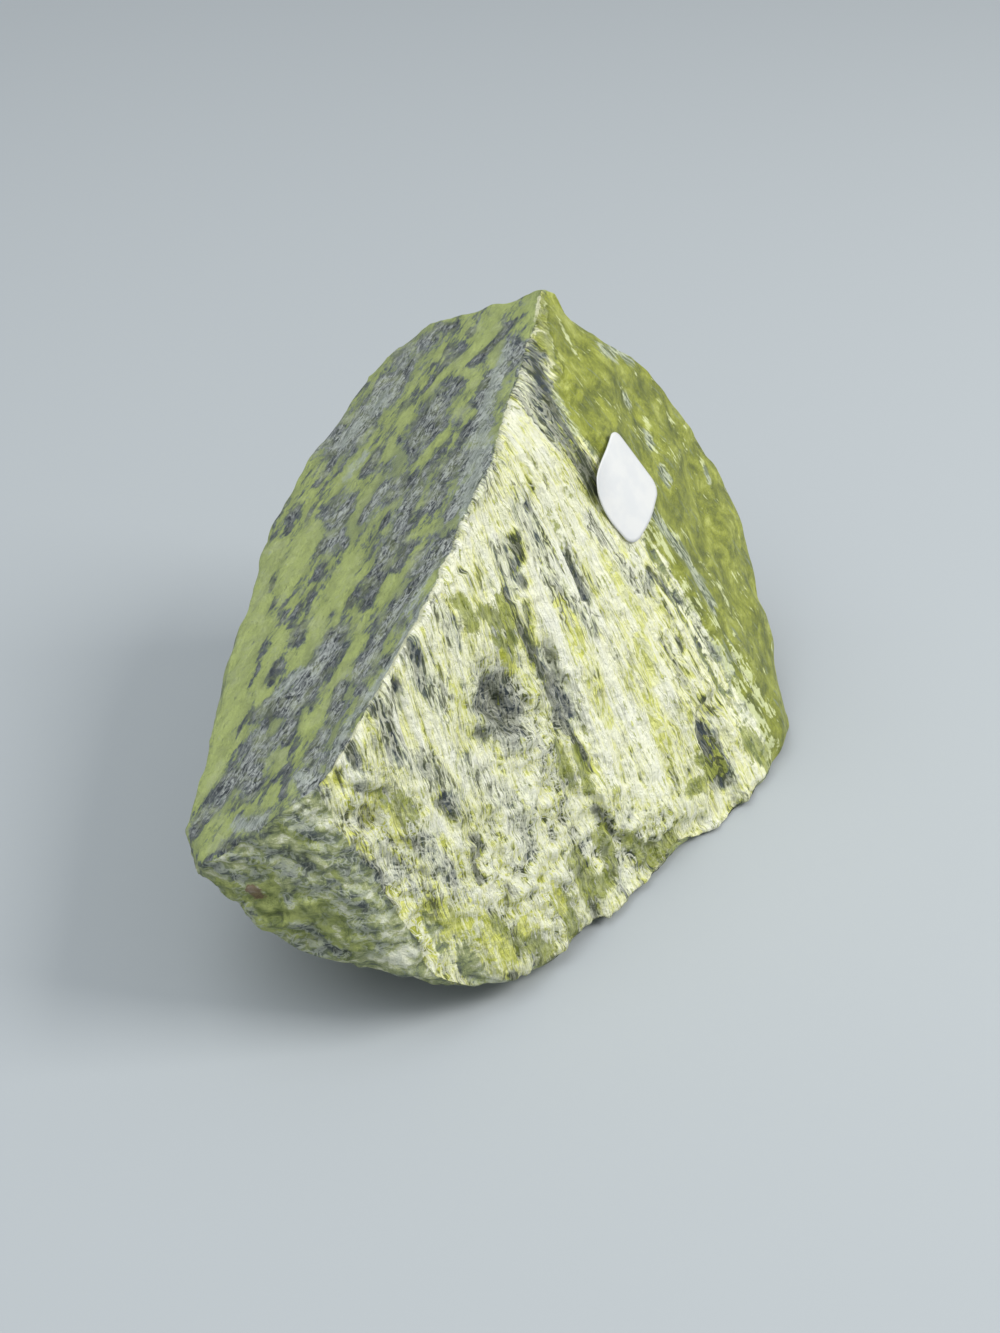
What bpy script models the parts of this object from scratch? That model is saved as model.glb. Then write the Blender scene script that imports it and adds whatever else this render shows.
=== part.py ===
"""A broken lump of green serpentine with a small blank paper label stuck over its crest.

The lump starts as the convex form of its corners. Its faces are divided into small triangles,
which are then pushed in and out along their normals: terraces and a proud layer on the fibrous
front, low steps on the slab, ledges on the end and on the rough back, and chips along the edges.
It rests on a small flat spot under its middle. Lengths are in millimetres until the last step.
+X is right, +Y is away from the fibrous front, and the origin is under the middle of the lump.
"""

import math

import bmesh
import bpy
from mathutils import Vector, noise
from mathutils.bvhtree import BVHTree

MM = 0.001

# The corners of the lump, taken round each stretch of its outline.
APEX = (4.5, 38.7, 80.4)
SLAB_RIM = [(-9.9, 44.2, 71.3), (-16.2, 50.0, 67.9), (-21.0, 50.5, 64.8), (-27.6, 45.5, 59.5),
            (-36.4, 29.9, 51.5), (-43.6, 14.9, 44.7), (-45.9, -12.0, 39.8), (-48.6, -31.0, 35.3),
            (-51.0, -47.6, 31.5), (-47.7, -54.9, 32.8)]
FRONT_RIDGE = [(-43.1, -53.5, 36.0), (-35.3, -53.1, 41.4), (-27.7, -50.3, 46.9),
               (-13.0, -26.8, 59.9), (-3.5, -1.0, 69.8), (-0.5, 24.7, 75.2)]
CREST = [(7.6, 26.0, 74.0), (14.3, 18.7, 64.3), (23.6, 15.9, 48.2), (35.3, 12.8, 28.4),
         (44.5, 10.5, 13.1), (49.6, 9.6, 4.9)]
OLIVE_RIM = [(12.0, 42.0, 71.0), (16.9, 45.0, 67.8), (22.5, 49.0, 61.9), (29.7, 52.0, 50.1),
             (35.6, 53.0, 41.4), (41.5, 53.0, 32.5), (44.8, 49.0, 24.6), (45.2, 40.0, 19.6),
             (46.6, 30.0, 12.7), (50.5, 26.0, 6.0), (52.0, 18.0, 1.2)]
FIBRE_FOOT = [(45.2, 1.4, 1.6), (40.6, -5.1, 0.4), (33.9, -11.5, 1.6), (23.9, -22.2, 3.0),
              (17.5, -30.2, 2.8), (8.9, -40.8, 2.5), (4.4, -46.3, 2.6), (-4.2, -53.9, 5.2),
              (-11.2, -57.2, 10.8)]
END_FOOT = [(-45.6, -54.9, 31.0), (-42.1, -55.4, 25.0), (-34.2, -55.6, 17.2), (-26.8, -55.0, 15.0),
            (-20.2, -54.8, 11.5), (-7.2, -54.6, 5.9)]
BACK_WALL = [(-46.5, 1.0, 26.0), (-38.5, 31.0, 24.0), (-15.0, 52.0, 30.0), (17.5, 57.0, 24.0),
             (39.0, 49.0, 14.0), (-47.0, -36.0, 22.0)]
BACK_FOOT = [(-38.0, -34.0, 9.0), (-38.5, -2.0, 8.0), (-28.0, 29.0, 7.0), (-3.0, 46.0, 6.0),
             (25.0, 45.0, 4.0)]
REST_SPOT = [(-22.0, -16.0, 0.0), (-14.0, -30.0, 0.0), (10.0, -28.0, 0.0), (28.0, -8.0, 0.0),
             (30.0, 8.0, 0.0), (12.0, 22.0, 0.0), (-12.0, 18.0, 0.0)]

# The way each named face looks; every other face is rough. The tip is the narrow facet below the
# apex, between the slab and the crest.
FACE_NORMALS = {
    "slab": Vector((-0.56, -0.11, 0.82)),
    "tip": Vector((0.20, -0.40, 0.89)),
    "fibre": Vector((0.67, -0.56, 0.48)),
    "olive": Vector((0.85, -0.17, 0.50)),
    "end": Vector((0.11, -0.98, 0.13)),
    "rest": Vector((0.0, 0.0, -1.0)),
}
SAME_FACE = math.cos(math.radians(23))
REST_FACE = math.cos(math.radians(2))

# The spacing of the triangles on each face, and along the edge of the proud layer.
SPACING = {"fibre": 2.5, "tip": 2.5, "end": 2.7, "slab": 3.3, "olive": 3.5, "rough": 5.0, "rest": 7.0}
LEDGE_SPACING = 1.5
LONGEST_RATIO = 1.35
FLAT_ANGLE = math.radians(1.0)
SHORTEST_EDGE = 0.5

# The grain of the fibrous front: across and down it from the apex, and the point the fibres fan from.
DOWN_GRAIN = Vector((0.245, -0.448, -0.860)).normalized()
ACROSS_GRAIN = FACE_NORMALS["fibre"].cross(DOWN_GRAIN).normalized()
FAN_CENTRE = (-43.6, -55.2)

# The proud layer on the fibrous front, across and down the grain: its left edge runs down the
# grain, its lower edge is ragged, and its right edge climbs back to the crest.
LEDGE_EDGE = [(-32.0, 12.0), (-32.0, 31.0), (-33.0, 49.0), (-31.0, 56.0), (-27.5, 66.0),
              (-25.4, 78.0), (-28.0, 81.5), (-24.6, 89.0), (-16.7, 95.1), (-13.8, 93.6),
              (-1.5, 94.5), (0.4, 84.0), (1.0, 77.0), (9.5, 73.5), (14.0, 69.0), (32.0, 67.0),
              (32.0, 30.0)]
LEDGE_RISE = 0.5
LEDGE_DROP = 1.3
LEDGE_WIDTH = 1.4
LEDGE_TOP = (20.0, 34.0)
HOLLOW_REACH = (3.0, 15.0)
HOLLOW_RIGHT = (2.0, 11.0)

# The fibres: how many splinters and terraces lie in a radian of the fan, and their length and rise.
SPLINTERS_ROUND = 42.0
SPLINTER_LENGTH = 26.0
SPLINTER_RISE = 0.7
TERRACES_ROUND = 15.0
TERRACE_LENGTH = 34.0
TERRACE_RISE = 0.9
TERRACE_STEPS = 2.4
TERRACE_EDGE = 3.0

# The slab's low steps and its fine waviness.
SLAB_STEP_SIZE = 24.0
SLAB_STEPS = 2.0
SLAB_STEP_EDGE = 4.0
SLAB_STEP_RISE = 0.7
SLAB_WAVE_SIZE = 5.0
SLAB_WAVE_RISE = 0.25

# The shell-like scoops of the waxy face, and its fine waviness.
SCOOP_SIZE = 13.0
SCOOP_RISE = 1.6
SCOOP_DEPTH = 0.4
OLIVE_WAVE_SIZE = 4.0
OLIVE_WAVE_RISE = 0.2

# The tip's fine waviness.
TIP_WAVE_SIZE = 3.0
TIP_WAVE_RISE = 0.5

# The end's ledges, one above the other, how far they wander up and down, and the lumps in them.
END_LEDGE_HEIGHT = 6.5
END_WANDER = 1.2
END_WANDER_SIZE = 17.0
END_LEDGE_EDGE = 2.0
END_RISE = 0.7
END_LUMP_SIZE = 7.0
END_SWELL = 0.2

# The blocks and hackles of the rough break.
BLOCK_SIZE = 21.0
BLOCK_STEPS = 3.0
BLOCK_EDGE = 2.6
BLOCK_RISE = 3.6
HACKLE_SIZE = 9.0
HACKLE_LAYERS = 3
HACKLE_RISE = 1.1
ROUGH_DEPTH = 0.6

# How far the sharp edges are chipped back, and the size of the chips.
EDGE_WEAR = 1.5
CHIP_SIZE = 3.6

# The edge between the fibrous front and the end, which is rounded off.
ROUND_EDGE = (Vector((-27.7, -50.3, 46.9)), Vector((-6.0, -55.0, 6.0)))
ROUND_DEPTH = 1.9
ROUND_REACH = 7.5

# Chips, notches and hollows: centre, radius, depth and the face they are in, or None for any.
HOLLOWS = [
    ((0.2, 40.5, 78.2), 4.5, 0.8, None),
    ((11.0, 41.5, 73.6), 6.0, 1.3, None),
    ((-44.8, 9.5, 43.5), 3.2, 1.2, None),
    ((45.0, 37.5, 18.5), 5.5, 1.4, None),
    ((29.5, -17.0, 2.5), 9.0, 1.4, None),
    ((-3.0, -26.0, 43.7), 5.6, 2.6, "fibre"),
    ((-0.6, -26.3, 38.5), 4.6, 1.7, "fibre"),
    ((-22.1, -50.2, 38.6), 2.8, 1.9, None),
    ((-19.9, -47.1, 38.8), 3.6, 1.4, None),
    ((33.1, 2.1, 18.3), 3.6, 1.2, None),
    ((-46.0, -55.0, 29.6), 5.0, 1.6, "end"),
    ((-30.5, -55.0, 18.0), 5.6, 2.0, "end"),
    ((-38.7, -54.7, 27.3), 3.2, 0.6, "end"),
    ((-30.0, -20.0, 51.0), 14.0, 0.5, "slab"),
    ((22.0, 36.0, 60.0), 9.0, 0.7, "olive"),
    ((34.0, 38.0, 38.0), 11.0, 0.9, "olive"),
    ((-47.0, 18.0, 28.0), 15.0, 2.6, "rough"),
    ((2.0, 52.0, 44.0), 17.0, 3.2, "rough"),
    ((28.0, 54.0, 18.0), 11.0, 2.2, "rough"),
    ((-30.0, -46.0, 9.0), 12.0, 1.8, "rough"),
]
FLAT_BELOW = 0.45

# The paper label: a rounded square bent over the crest, which is smooth beneath it.
LABEL_CENTRE = Vector((17.6, 15.5, 55.3))
LABEL_NORMAL = Vector((0.726, -0.444, 0.524)).normalized()
LABEL_UP = Vector((0.360, 0.896, 0.260))
LABEL_SIDE = 14.8
LABEL_CORNER = 2.4
LABEL_THICK = 0.25
LABEL_GAP = 0.35
LABEL_CELLS = 10
LABEL_FOLD = 12.0
LABEL_FOLD_ROUND = 2.0
SMOOTH_REACH = (6.0, 12.0)
LEAST_RELIEF = 0.2
LABEL_CLEAR_HEIGHT = 15.0


def clear_scene():
    for obj in list(bpy.data.objects):
        bpy.data.objects.remove(obj)


def smooth_step(low, high, value):
    share = min(1.0, max(0.0, (value - low) / (high - low)))
    return share * share * (3.0 - 2.0 * share)


def face_name(normal):
    """The named face that a facet with this normal belongs to."""
    if normal.z < -REST_FACE:
        return "rest"
    names = [name for name in FACE_NORMALS if name != "rest"]
    nearest = max(names, key=lambda name: normal.dot(FACE_NORMALS[name]))
    if normal.dot(FACE_NORMALS[nearest]) > SAME_FACE:
        return nearest
    return "rough"


def on_grain(point):
    """A point's place across and down the grain, measured from the apex."""
    offset = point - Vector(APEX)
    return offset.dot(ACROSS_GRAIN), offset.dot(DOWN_GRAIN)


def ledge_distance(across, down):
    """How far a place is inside the proud layer, or outside it as a negative distance."""
    nearest = math.inf
    inside = False
    corners = LEDGE_EDGE
    for (ax, ay), (bx, by) in zip(corners, corners[1:]):
        run = Vector((bx - ax, by - ay))
        start = Vector((across - ax, down - ay))
        along = min(1.0, max(0.0, start.dot(run) / run.length_squared))
        nearest = min(nearest, (start - run * along).length)
    for (ax, ay), (bx, by) in zip(corners, corners[1:] + corners[:1]):
        if (ay > down) != (by > down) and across < (bx - ax) * (down - ay) / (by - ay) + ax:
            inside = not inside
    return nearest if inside else -nearest


def corner_form():
    """The closed convex form of all the corners."""
    bm = bmesh.new()
    corners = [APEX, *SLAB_RIM, *FRONT_RIDGE, *CREST, *OLIVE_RIM, *FIBRE_FOOT, *END_FOOT,
               *BACK_WALL, *BACK_FOOT, *REST_SPOT]
    for corner in corners:
        bm.verts.new(corner)
    hull = bmesh.ops.convex_hull(bm, input=bm.verts[:])
    spare = {item for item in hull["geom_interior"] if isinstance(item, bmesh.types.BMVert)}
    bmesh.ops.delete(bm, geom=list(spare), context="VERTS")
    bmesh.ops.recalc_face_normals(bm, faces=bm.faces[:])
    return bm


def spacing_at(face, middle):
    """The length of edge wanted at a place on a face."""
    name = face_name(face.normal)
    across, down = on_grain(middle)
    if name == "fibre" and down > LEDGE_TOP[1] and abs(ledge_distance(across, down)) < LEDGE_WIDTH:
        return LEDGE_SPACING
    return SPACING[name]


def refine(bm):
    """Divide long edges, turn the flat ones between better triangles, and even the points out."""
    while True:
        bm.normal_update()
        long_edges = []
        for edge in bm.edges:
            middle = (edge.verts[0].co + edge.verts[1].co) / 2
            wanted = min(spacing_at(face, middle) for face in edge.link_faces)
            if edge.calc_length() > LONGEST_RATIO * wanted:
                long_edges.append(edge)
        if not long_edges:
            return
        bmesh.ops.subdivide_edges(bm, edges=long_edges, cuts=1)
        bmesh.ops.triangulate(bm, faces=[face for face in bm.faces if len(face.verts) > 3])
        bm.normal_update()
        flat_edges = [edge for edge in bm.edges if edge.calc_face_angle() < FLAT_ANGLE]
        bmesh.ops.beautify_fill(bm, faces=bm.faces[:], edges=flat_edges)
        for vert in bm.verts:
            if all(edge.calc_face_angle() < FLAT_ANGLE for edge in vert.link_edges):
                ring = [edge.other_vert(vert).co for edge in vert.link_edges]
                vert.co = sum(ring, Vector()) / len(ring)


def merge_short_edges(bm):
    """Draw each very short edge together, where that leaves the mesh closed."""
    while True:
        for edge in bm.edges:
            ends = [{link.other_vert(vert) for link in vert.link_edges} for vert in edge.verts]
            if edge.calc_length() < SHORTEST_EDGE and len(ends[0] & ends[1]) == 2:
                middle = (edge.verts[0].co + edge.verts[1].co) / 2
                bmesh.ops.pointmerge(bm, verts=edge.verts[:], merge_co=middle)
                break
        else:
            return


def face_shares(vert):
    """How much of each named face a point belongs to."""
    shares = dict.fromkeys([*FACE_NORMALS, "rough"], 0.0)
    for face in vert.link_faces:
        shares[face_name(face.normal)] += 1.0 / len(vert.link_faces)
    return shares


def stepped(value, sharpness):
    """A wave value pulled towards whole steps, which makes terraces."""
    base = math.floor(value)
    return base + smooth_step(0.5 - 0.5 / sharpness, 0.5 + 0.5 / sharpness, value - base)


def fibre_relief(point):
    """Long narrow terraces that fan down the grain, and the proud layer over them."""
    across, down = on_grain(point)
    fan_across = across - FAN_CENTRE[0]
    fan_down = down - FAN_CENTRE[1]
    angle = math.atan2(fan_across, fan_down)
    reach = math.hypot(fan_across, fan_down)
    splinters = noise.noise(Vector((angle * SPLINTERS_ROUND, reach / SPLINTER_LENGTH, 3.1)))
    coarse = noise.noise(Vector((angle * TERRACES_ROUND, reach / TERRACE_LENGTH, 7.7)))
    terraces = stepped(TERRACE_STEPS * coarse, TERRACE_EDGE) / TERRACE_STEPS
    inside = ledge_distance(across, down)
    layer = smooth_step(-LEDGE_WIDTH / 2, LEDGE_WIDTH / 2, inside)
    beside = 1.0 - smooth_step(*HOLLOW_REACH, -inside)
    beside *= 1.0 - smooth_step(*HOLLOW_RIGHT, across)
    level = LEDGE_RISE * layer - LEDGE_DROP * (1.0 - layer) * beside
    level *= smooth_step(*LEDGE_TOP, down)
    return level + TERRACE_RISE * terraces + SPLINTER_RISE * splinters * smooth_step(*LEDGE_TOP, down)


def slab_relief(point):
    """A nearly flat break with a few low steps along its length."""
    wave = noise.noise(point / SLAB_STEP_SIZE + Vector((5.0, 1.0, 2.0)))
    steps = stepped(SLAB_STEPS * wave, SLAB_STEP_EDGE) / SLAB_STEPS
    return SLAB_STEP_RISE * steps + SLAB_WAVE_RISE * noise.noise(point / SLAB_WAVE_SIZE)


def olive_relief(point):
    """Shallow shell-like scoops."""
    scoops = abs(noise.noise(point / SCOOP_SIZE + Vector((0.3, 4.0, 8.0))))
    return SCOOP_RISE * scoops - SCOOP_DEPTH + OLIVE_WAVE_RISE * noise.noise(point / OLIVE_WAVE_SIZE)


def end_relief(point):
    """Thin wavy ledges that lie nearly level."""
    level = point.z / END_LEDGE_HEIGHT + END_WANDER * noise.noise(point / END_WANDER_SIZE)
    ledges = stepped(level, END_LEDGE_EDGE) - level
    return END_RISE * (ledges + noise.noise(point / END_LUMP_SIZE)) + END_SWELL


def rough_relief(point):
    """Blocky steps and hackly breaks."""
    wave = noise.noise(point / BLOCK_SIZE + Vector((9.0, 2.0, 6.0)))
    blocks = stepped(BLOCK_STEPS * wave, BLOCK_EDGE) / BLOCK_STEPS
    hackles = noise.fractal(point / HACKLE_SIZE, 1.0, 2.0, HACKLE_LAYERS)
    return BLOCK_RISE * blocks + HACKLE_RISE * hackles - ROUGH_DEPTH


def hollow_depth(point, shares):
    """How far the hollows and the rounded edge cut in at a point."""
    start, end = ROUND_EDGE
    share = min(1.0, max(0.0, (point - start).dot(end - start) / (end - start).length_squared))
    from_edge = (point - start.lerp(end, share)).length
    depth = ROUND_DEPTH * (1.0 - smooth_step(0.0, ROUND_REACH, from_edge))
    for centre, radius, deepest, face in HOLLOWS:
        share = 1.0 if face is None else shares[face]
        away = (point - Vector(centre)).length / radius
        if away < 1.0 and share > 0.0:
            depth += share * deepest * (1.0 - away * away) ** 2
    return depth


def relief(vert):
    """How far a point is pushed out along its normal."""
    point = vert.co
    shares = face_shares(vert)
    push = shares["fibre"] * fibre_relief(point) + shares["slab"] * slab_relief(point)
    push += shares["olive"] * olive_relief(point) + shares["end"] * end_relief(point)
    push += shares["rough"] * rough_relief(point)
    push += shares["tip"] * TIP_WAVE_RISE * noise.noise(point / TIP_WAVE_SIZE)
    between = 2.0 * (1.0 - max(shares.values()))
    push -= EDGE_WEAR * between * max(0.0, noise.noise(point / CHIP_SIZE))
    clear = smooth_step(*SMOOTH_REACH, (point - LABEL_CENTRE).length)
    push *= LEAST_RELIEF + (1.0 - LEAST_RELIEF) * clear
    return push * (1.0 - shares["rest"]) - hollow_depth(point, shares)


def build_lump():
    """The lump's mesh, in millimetres."""
    bm = corner_form()
    refine(bm)
    merge_short_edges(bm)
    bm.normal_update()
    moves = [(vert, vert.normal * relief(vert)) for vert in bm.verts]
    for vert, move in moves:
        vert.co += move
        if vert.co.z < FLAT_BELOW:
            vert.co.z = 0.0
    bmesh.ops.triangulate(bm, faces=bm.faces[:])
    bmesh.ops.recalc_face_normals(bm, faces=bm.faces[:])
    return bm


def round_square(x, y):
    """Move a point of a square from -1 to 1 to its place on the rounded square."""
    reach = max(abs(x), abs(y))
    if reach == 0.0:
        return 0.0, 0.0
    half = LABEL_SIDE / 2
    inner = half - LABEL_CORNER
    across, along = sorted((abs(x) / reach * half, abs(y) / reach * half))
    if across <= inner:
        return x * half, y * half
    share = math.hypot(across, along)
    diagonal = inner * (across + along) / share
    radius = diagonal + math.sqrt(diagonal * diagonal - 2.0 * inner * inner + LABEL_CORNER ** 2)
    return x * half * radius / share, y * half * radius / share


def build_label(lump):
    """The label's mesh: a sheet folded softly along the crest and set just clear of the lump."""
    tree = BVHTree.FromBMesh(lump)
    side = LABEL_UP.cross(LABEL_NORMAL).normalized()
    up = LABEL_NORMAL.cross(side)
    crest = (Vector(CREST[3]) - Vector(CREST[2])).normalized()
    fold_side = crest.cross(LABEL_NORMAL).normalized()
    fall = math.tan(math.radians(LABEL_FOLD))
    bm = bmesh.new()
    bmesh.ops.create_grid(bm, x_segments=LABEL_CELLS, y_segments=LABEL_CELLS, size=1.0)
    lift = -math.inf
    for vert in bm.verts:
        x, y = round_square(vert.co.x, vert.co.y)
        place = LABEL_CENTRE + side * x + up * y
        from_fold = (place - LABEL_CENTRE).dot(fold_side)
        drop = fall * (math.hypot(from_fold, LABEL_FOLD_ROUND) - LABEL_FOLD_ROUND)
        vert.co = place - LABEL_NORMAL * drop
        above = vert.co + LABEL_NORMAL * LABEL_CLEAR_HEIGHT
        hit = tree.ray_cast(above, -LABEL_NORMAL)[0]
        lift = max(lift, (hit - vert.co).dot(LABEL_NORMAL))
    bmesh.ops.translate(bm, vec=LABEL_NORMAL * (lift + LABEL_GAP), verts=bm.verts[:])
    bmesh.ops.solidify(bm, geom=bm.faces[:], thickness=-LABEL_THICK)
    bmesh.ops.triangulate(bm, faces=bm.faces[:])
    bmesh.ops.recalc_face_normals(bm, faces=bm.faces[:])
    return bm


def finish(bm, name, colour, roughness):
    """Scale a mesh to metres and make it an object with its own material."""
    bmesh.ops.scale(bm, vec=(MM, MM, MM), verts=bm.verts[:])
    mesh = bpy.data.meshes.new(name)
    bm.to_mesh(mesh)
    bm.free()
    material = bpy.data.materials.new(name)
    material.use_nodes = True
    shader = material.node_tree.nodes["Principled BSDF"]
    shader.inputs["Base Color"].default_value = (*colour, 1.0)
    shader.inputs["Roughness"].default_value = roughness
    shader.inputs["Metallic"].default_value = 0.0
    mesh.materials.append(material)
    obj = bpy.data.objects.new(name, mesh)
    bpy.context.collection.objects.link(obj)
    return obj


def middle_of(bm):
    """The point of the floor under the middle of a mesh's box."""
    xs = [vert.co.x for vert in bm.verts]
    ys = [vert.co.y for vert in bm.verts]
    return Vector(((min(xs) + max(xs)) / 2, (min(ys) + max(ys)) / 2, 0.0))


def main():
    clear_scene()
    lump = build_lump()
    label = build_label(lump)
    middle = middle_of(lump)
    for bm in (lump, label):
        bmesh.ops.translate(bm, vec=-middle, verts=bm.verts[:])
    finish(lump, "rock", (0.34, 0.38, 0.16), 0.6)
    finish(label, "paper_label", (0.86, 0.86, 0.84), 0.55)


main()
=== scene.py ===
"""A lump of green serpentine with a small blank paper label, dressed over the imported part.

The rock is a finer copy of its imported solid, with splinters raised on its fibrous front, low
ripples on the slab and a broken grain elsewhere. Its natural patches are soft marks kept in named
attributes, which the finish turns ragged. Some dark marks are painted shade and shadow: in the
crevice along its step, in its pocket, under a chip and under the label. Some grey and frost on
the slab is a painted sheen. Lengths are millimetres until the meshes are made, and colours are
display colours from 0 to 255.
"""

import math

import bmesh
import bpy
import numpy as np
from mathutils import Euler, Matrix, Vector, noise
from mathutils.bvhtree import BVHTree

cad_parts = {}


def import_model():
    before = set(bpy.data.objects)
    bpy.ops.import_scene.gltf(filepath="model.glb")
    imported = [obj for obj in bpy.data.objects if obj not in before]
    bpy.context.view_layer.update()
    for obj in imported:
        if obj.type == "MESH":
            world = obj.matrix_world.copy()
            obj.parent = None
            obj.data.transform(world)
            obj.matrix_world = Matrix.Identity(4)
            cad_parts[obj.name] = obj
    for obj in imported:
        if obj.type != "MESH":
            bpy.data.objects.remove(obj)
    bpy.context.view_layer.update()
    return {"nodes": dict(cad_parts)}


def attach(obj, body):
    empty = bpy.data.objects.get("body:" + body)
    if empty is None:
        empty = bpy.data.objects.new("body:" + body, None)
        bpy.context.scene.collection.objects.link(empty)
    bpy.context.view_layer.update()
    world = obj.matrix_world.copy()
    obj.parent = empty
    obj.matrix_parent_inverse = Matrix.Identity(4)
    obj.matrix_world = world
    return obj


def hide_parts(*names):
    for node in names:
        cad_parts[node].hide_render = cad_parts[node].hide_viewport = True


MM = 0.001

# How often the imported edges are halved, after points this near in metres are made one.
HALVINGS = 2
SAME_PLACE = 1e-6

# The way the named faces of the rock look. What belongs to none of them is broken rough.
FACES = {
    "slab": (-0.56, -0.11, 0.82),
    "fibre": (0.67, -0.56, 0.48),
    "olive": (0.85, -0.17, 0.50),
    "end": (0.11, -0.98, 0.13),
    "tip": (0.20, -0.40, 0.89),
}
COATED = ("slab", "fibre", "olive", "end")

# How a point is given to a face: by its height over the face's level, which is the given percentile
# of the points that look its way, less a cost for each turn away from it.
OWN_FACING = 0.92
OWN_HEIGHT = 80
TURN_COST = 12.0
ROUGH_SCORE = -9.0
FACE_SOFTNESS = 0.9

# The grain of the front: across it and down it from the apex, out of the front, and the point that
# its fibres fan out from. Nearer the slab than the least angle they run straight.
APEX = np.array((3.68, 39.11, 80.4))
DOWN_GRAIN = np.array((0.245, -0.448, -0.860))
ACROSS_GRAIN = np.array((0.702, 0.694, -0.161))
OUT_OF_FRONT = np.array((0.67, -0.56, 0.48))
FAN_CENTRE = (-43.6, -55.2)
FAN_RADIUS = 105.0
LEAST_FAN = math.radians(5.5)

# The way the slab's streaks run, and across them.
STREAK = (0.48, 0.76, 0.43)
STREAK_SIDE = (-0.67, 0.62, -0.37)

# How many times a vertex is moved halfway to its neighbours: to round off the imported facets, to find
# the way a whole face looks, and to find the level that raised strands stand over.
ROUNDING = 3
FACE_ROUNDING = 12
LEVEL_ROUNDING = 8

# Relief: the sizes of its blotches, or the width and length of its strands, then its height and seed.
FRONT_SWELL = ((1.6, 20.0, 5.0), 0.42, 1)
LONG_SPLINTERS = ((1.7, 17.0), 0.42, 2)
SHORT_SPLINTERS = ((1.0, 8.0), 0.24, 3)
LARGE_CRUMBS = ((3.4, 3.4, 3.4), 0.70, 4)
SMALL_CRUMBS = ((1.7, 1.7, 1.7), 0.50, 5)
WORN_SPLINTERS = ((1.5, 6.0), 0.30, 6)
SLAB_RIPPLES = ((9.0, 3.0, 1.0), 0.16, 7)
SLAB_GRAIN = ((3.0, 1.4, 1.0), 0.08, 8)
BROKEN_RIDGES = ((7.0, 7.0, 4.0), 0.50, 9)
BROKEN_GRAIN = ((2.4, 2.4, 1.8), 0.34, 10)
RIDGE_SPLINTERS = ((2.1, 9.0), 0.26, 11)
OLIVE_SWELL = ((6.0, 6.0, 6.0), 0.16, 12)
END_LUMPS = ((5.0, 5.0, 2.2), 0.36, 13)
END_GRAIN = ((1.8, 1.8, 1.1), 0.26, 14)
BROKEN_STEPS = ((16.0, 16.0, 9.0), 0.36, 15)

# The broken steps: how many a blotch has, and the part of each that rises. The splinters of the
# ridge fade in with the slab's share times the front's.
STEPS_A_BLOTCH = 3.0
STEP_RISER = (0.3, 0.7)
RIDGE_SHARE = (0.08, 0.24)

# Strands wander by this share of their width over blotches of these sizes, step to the next strand
# over the last part of their width, and start their breaks up to so many lengths along.
STRAND_WANDER = (0.6, (6.0, 22.0, 9.0))
STRAND_STEP = (0.72, 1.0)
STRAND_SHIFTS = 9.0

# Factors that scatter whole numbers into chances, and the way a new seed moves the noise.
SCATTER = (12.9898, 78.233, 37.719)
SCATTER_SIZE = 43758.5453
SEED_STEP = np.array((7.3, 3.1, 5.7))

# The relief of the end and the broken rest dies down to the least share where the surface turns
# sharply, so that the edges keep their shape. All relief dies down near the flat spot, whose points
# are those packed this near the floor.
STEADY = (0.86, 0.98)
LEAST_STEADY = 0.25
FOOT = (0.2, 1.5)
ON_THE_FLOOR = 1e-4

# Broad places on the front where the fibres are crumbled instead of straight: two ends and a radius.
CRUMBLED = [
    (3.0, -26.0, 34.0, 6.0, -33.0, 22.0, 9.0),
    (-4.0, -43.0, 20.0, 6.0, -36.0, 12.0, 9.0),
    (-20.0, -52.0, 26.0, -14.0, -53.0, 14.0, 6.0),
    (12.0, -27.0, 12.0, 22.0, -19.0, 7.0, 7.0),
    (-22.0, -49.0, 38.0, -18.0, -48.0, 33.0, 6.0),
    (-4.0, -26.0, 43.0, 0.0, -24.0, 38.0, 5.0),
]

# Hollows in the front, the same way: the pocket beside the proud layer, and a small hole near the
# left edge. Their walls fall between two reaches, to one depth.
HOLLOWS = [
    (-5.0, -26.0, 41.5, -2.5, -25.0, 38.5, 2.6),
    (-23.2, -47.7, 37.1, -22.8, -48.1, 36.3, 1.5),
]
HOLLOW_EDGE = (0.3, 0.85)
HOLLOW_DEPTH = 1.5

# The label: a rounded square of thin paper, a gap over the rock and bent over its crest. Its left
# corner lifts. The relief keeps a small share under it, and grows to full between two distances.
LABEL_CENTRE = Vector((16.88, 15.66, 54.9))
LABEL_NORMAL = Vector((0.726, -0.444, 0.524)).normalized()
LABEL_UP = Vector((0.360, 0.896, 0.260))
CREST = Vector((11.7, -3.1, -19.8)).normalized()
LABEL_SIDE = 14.8
LABEL_CORNER = 2.4
LABEL_THICK = 0.16
LABEL_GAP = 0.22
LABEL_CELLS = 30
LABEL_FOLD = math.radians(12.0)
LABEL_FOLD_ROUND = 2.0
CURL_LIFT = 3.2
CURL_REACH = 7.0
CLEAR_OF_LABEL = (8.0, 13.0)
UNDER_LABEL = 0.15

# The studio, in metres: each light's place, size, power and tint, the point they look at, a floor
# and a pale sky.
LIGHTS = {
    "window": ((0.62, -0.05, 0.62), 0.4, 5.5, (1.0, 0.99, 0.96)),
    "ceiling": ((-0.3, -0.15, 0.9), 0.8, 5.0, (0.95, 0.98, 1.0)),
}
LIT_POINT = Vector((0.0, 0.0, 0.04))
FLOOR_REACH = 3.0
FLOOR_GREY = (172, 177, 180)
FLOOR_DULLNESS = 0.9
SKY = (0.9, 0.95, 1.0, 1.0)
SKY_STRENGTH = 0.5

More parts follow.
